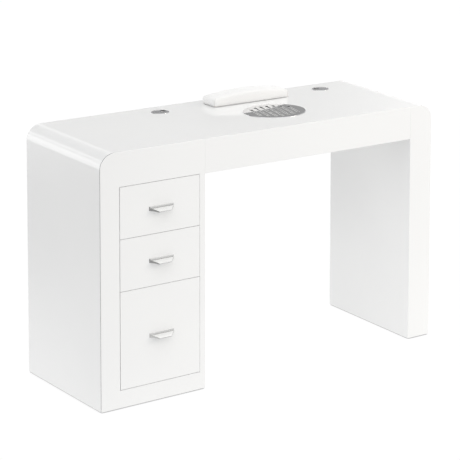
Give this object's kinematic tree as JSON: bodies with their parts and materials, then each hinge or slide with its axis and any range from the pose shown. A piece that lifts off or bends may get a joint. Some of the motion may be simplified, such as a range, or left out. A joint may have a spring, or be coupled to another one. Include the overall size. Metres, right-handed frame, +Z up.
{
  "type": "manicure table",
  "caption": "White lacquered manicure table: drawer pedestal, thick leg, hollow top with dust grille and fan, cable outlets and an arched hand rest.",
  "frame": {"origin": "on the floor, at the centre of the overall length and of the overall depth including the drawer pulls", "axes": "+X along the length to the right, front towards -Y, +Z up"},
  "size_m": [1.18, 0.506, 0.842],
  "materials": {
    "white_lacquer": "high-gloss white lacquer on board",
    "bare_board": "pale board, satin sealed",
    "zinc_steel": "zinc-plated",
    "pull_metal": "satin nickel",
    "outlet_chrome": "polished chrome",
    "grille_metal": "polished stainless",
    "black_plastic": "moulded, fine texture",
    "grey_plastic": "moulded glides",
    "filter_felt": "non-woven filter felt",
    "motor_copper": "enamelled winding",
    "white_leatherette": "fine-grained leatherette",
    "rubber": "matt"
  },
  "bodies": {
    "carcass": {"top_panel": "white_lacquer", "corner_rolls": "white_lacquer", "left_side_panel": "white_lacquer", "pedestal_face_panel": "white_lacquer", "pedestal_inner_panel": "white_lacquer", "pedestal_right_panel": "white_lacquer", "pedestal_base": "white_lacquer", "pedestal_top_board": "white_lacquer", "pedestal_back_panel": "white_lacquer", "front_apron": "white_lacquer", "rear_apron": "white_lacquer", "underside_panel": "white_lacquer", "leg_front_panel": "white_lacquer", "leg_rear_panel": "white_lacquer", "leg_outer_panel": "white_lacquer", "leg_inner_panel": "white_lacquer", "battens": "bare_board", "floor_glides": "grey_plastic", "dowels": "bare_board", "angle_brackets": "zinc_steel", "carcass_screws": "zinc_steel", "slide_cabinet_members": "zinc_steel", "outlet_sleeves": "outlet_chrome", "collector_bowl": "black_plastic", "fan_frame": "black_plastic", "fan_stator": "motor_copper", "switch_housing": "black_plastic", "power_inlet": "black_plastic", "wiring": "rubber"},
    "bottom_drawer": {"bottom_drawer_front": "white_lacquer", "bottom_drawer_box": "bare_board", "bottom_drawer_bottom": "bare_board", "bottom_drawer_pull": "pull_metal", "bottom_drawer_screws": "zinc_steel", "bottom_drawer_slide_inner": "zinc_steel"},
    "bottom_slide_middle": {"bottom_drawer_slide_middle": "zinc_steel"},
    "middle_drawer": {"middle_drawer_front": "white_lacquer", "middle_drawer_box": "bare_board", "middle_drawer_bottom": "bare_board", "middle_drawer_pull": "pull_metal", "middle_drawer_screws": "zinc_steel", "middle_drawer_slide_inner": "zinc_steel"},
    "middle_slide_middle": {"middle_drawer_slide_middle": "zinc_steel"},
    "top_drawer": {"top_drawer_front": "white_lacquer", "top_drawer_box": "bare_board", "top_drawer_bottom": "bare_board", "top_drawer_pull": "pull_metal", "top_drawer_screws": "zinc_steel", "top_drawer_slide_inner": "zinc_steel"},
    "top_slide_middle": {"top_drawer_slide_middle": "zinc_steel"},
    "left_cap": {"outlet_cap_left": "outlet_chrome"},
    "right_cap": {"outlet_cap_right": "outlet_chrome"},
    "grille_unit": {"dust_grille": "grille_metal", "dust_filter": "filter_felt"},
    "rotor": {"fan_rotor": "black_plastic"},
    "rocker": {"switch_rocker": "black_plastic"},
    "hand_rest": {"hand_rest_board": "bare_board", "hand_rest_feet": "rubber", "hand_rest_pad": "white_leatherette"}
  },
  "joints": [
    {"name": "top_drawer_pull_out", "type": "slide", "parent": "carcass", "child": "top_drawer", "axis": [0, -1, 0], "range_m": [0, 0.3]},
    {"name": "top_slide_follow", "type": "slide", "parent": "carcass", "child": "top_slide_middle", "axis": [0, -1, 0], "range_m": [0, 0.15]},
    {"name": "middle_drawer_pull_out", "type": "slide", "parent": "carcass", "child": "middle_drawer", "axis": [0, -1, 0], "range_m": [0, 0.3]},
    {"name": "middle_slide_follow", "type": "slide", "parent": "carcass", "child": "middle_slide_middle", "axis": [0, -1, 0], "range_m": [0, 0.15]},
    {"name": "bottom_drawer_pull_out", "type": "slide", "parent": "carcass", "child": "bottom_drawer", "axis": [0, -1, 0], "range_m": [0, 0.3]},
    {"name": "bottom_slide_follow", "type": "slide", "parent": "carcass", "child": "bottom_slide_middle", "axis": [0, -1, 0], "range_m": [0, 0.15]},
    {"name": "left_cap_turn", "type": "hinge", "parent": "carcass", "child": "left_cap", "pos_m": [-0.18, 0.173, 0.8], "axis": [0, 0, 1], "continuous": true},
    {"name": "right_cap_turn", "type": "hinge", "parent": "carcass", "child": "right_cap", "pos_m": [0.414, 0.173, 0.8], "axis": [0, 0, 1], "continuous": true},
    {"name": "fan_spin", "type": "hinge", "parent": "carcass", "child": "rotor", "pos_m": [0.117, -0.027, 0.735], "axis": [0, 0, 1], "continuous": true},
    {"name": "switch_rock", "type": "hinge", "parent": "carcass", "child": "rocker", "pos_m": [0.44, -0.157, 0.694], "axis": [0, 1, 0], "range_deg": [-18, 0]},
    {"name": "grille_lift", "type": "slide", "parent": "carcass", "child": "grille_unit", "axis": [0, 0, 1], "range_m": [0, 0.12]},
    {"name": "hand_rest_lift", "type": "slide", "parent": "carcass", "child": "hand_rest", "axis": [0, 0, 1], "range_m": [0, 0.15]}
  ],
  "couplings": [
    {"joint": "top_slide_follow", "follows": "top_drawer_pull_out", "ratio": 0.5},
    {"joint": "middle_slide_follow", "follows": "middle_drawer_pull_out", "ratio": 0.5},
    {"joint": "bottom_slide_follow", "follows": "bottom_drawer_pull_out", "ratio": 0.5}
  ]
}
